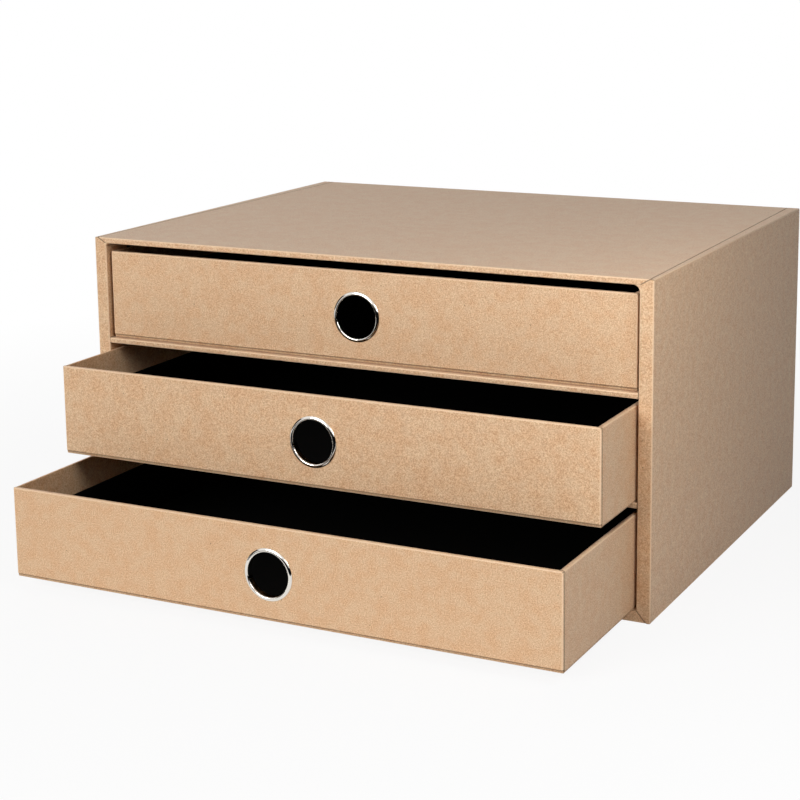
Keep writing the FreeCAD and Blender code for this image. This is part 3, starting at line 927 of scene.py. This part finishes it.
class FILEBOX_OT_casing_covers(bpy.types.Operator):
    """Covers the casing and its shelves with folded kraft sheets"""

    bl_idname = "filebox.casing_covers"
    bl_label = "Casing Covers"

    def execute(self, context):
        for part in CASING_SHEETS:
            detail = fold_pleats if part == "top_paper" else None
            sheet("case_" + part.replace("paper", "cover"), "case_" + part, "casing", detail)
        for part in SHELF_SHEETS:
            sheet(part.replace("paper", "cover"), part, "casing")
        return {"FINISHED"}


class FILEBOX_OT_drawer_covers(bpy.types.Operator):
    """Covers the three drawers with folded kraft sheets"""

    bl_idname = "filebox.drawer_covers"
    bl_label = "Drawer Covers"

    def execute(self, context):
        for drawer in DRAWERS:
            for part in DRAWER_SHEETS:
                name = f"{drawer}_{part}"
                detail = shade_hem if part == "base_paper" else None
                sheet(name.replace("paper", "cover"), name, drawer, detail)
        return {"FINISHED"}


class FILEBOX_OT_boards(bpy.types.Operator):
    """Gives the greyboard core and the black liners their finish"""

    bl_idname = "filebox.boards"
    bl_label = "Boards and Liners"

    def execute(self, context):
        finishes = {"greyboard": greyboard(), "black_liner": black_paper()}
        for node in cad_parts.values():
            for slot in node.material_slots:
                if slot.material.name in finishes:
                    slot.material = finishes[slot.material.name]
        return {"FINISHED"}


class FILEBOX_OT_eyelets(bpy.types.Operator):
    """Sets a pressed eyelet and its washer in each drawer front"""

    bl_idname = "filebox.eyelets"
    bl_label = "Eyelets"

    def execute(self, context):
        turning = turning_tree()
        trees = (eyelet_tree(turning), washer_tree(turning))
        for drawer in DRAWERS:
            set_eyelet(drawer, trees)
        return {"FINISHED"}


class FILEBOX_OT_stage(bpy.types.Operator):
    """Sets up the floor, the light and the camera"""

    bl_idname = "filebox.stage"
    bl_label = "Stage"

    def execute(self, context):
        look = context.scene.file_box.stage
        make_floor()
        room_light()
        for name, place, size in LIGHTS:
            area_light(name + "_light", Vector(place), size, getattr(look, name))
        make_camera()
        context.scene.view_settings.view_transform = "Standard"
        return {"FINISHED"}


class FILEBOX_PT_sidebar(bpy.types.Panel):
    """Lists the steps that dress the file box"""

    bl_label = "File Box"
    bl_idname = "FILEBOX_PT_sidebar"
    bl_space_type = "VIEW_3D"
    bl_region_type = "UI"
    bl_category = "File Box"

    def draw(self, context):
        for operator in OPERATORS:
            self.layout.operator(operator.bl_idname)


SETTINGS = (KraftSettings, SheetSettings, EyeletSettings, StageSettings, FileBoxSettings)
OPERATORS = (
    FILEBOX_OT_casing_covers,
    FILEBOX_OT_drawer_covers,
    FILEBOX_OT_boards,
    FILEBOX_OT_eyelets,
    FILEBOX_OT_stage,
)


def register():
    """Registers the settings, the operators and the panel."""
    for cls in (*SETTINGS, *OPERATORS, FILEBOX_PT_sidebar):
        bpy.utils.register_class(cls)
    bpy.types.Scene.file_box = PointerProperty(type=FileBoxSettings)


def unregister():
    """Takes them out again."""
    del bpy.types.Scene.file_box
    for cls in reversed((*SETTINGS, *OPERATORS, FILEBOX_PT_sidebar)):
        bpy.utils.unregister_class(cls)


def main():
    """Dresses the box."""
    register()
    bpy.ops.filebox.casing_covers()
    bpy.ops.filebox.drawer_covers()
    bpy.ops.filebox.boards()
    bpy.ops.filebox.eyelets()
    bpy.ops.filebox.stage()


if __name__ == "__main__":
    main()
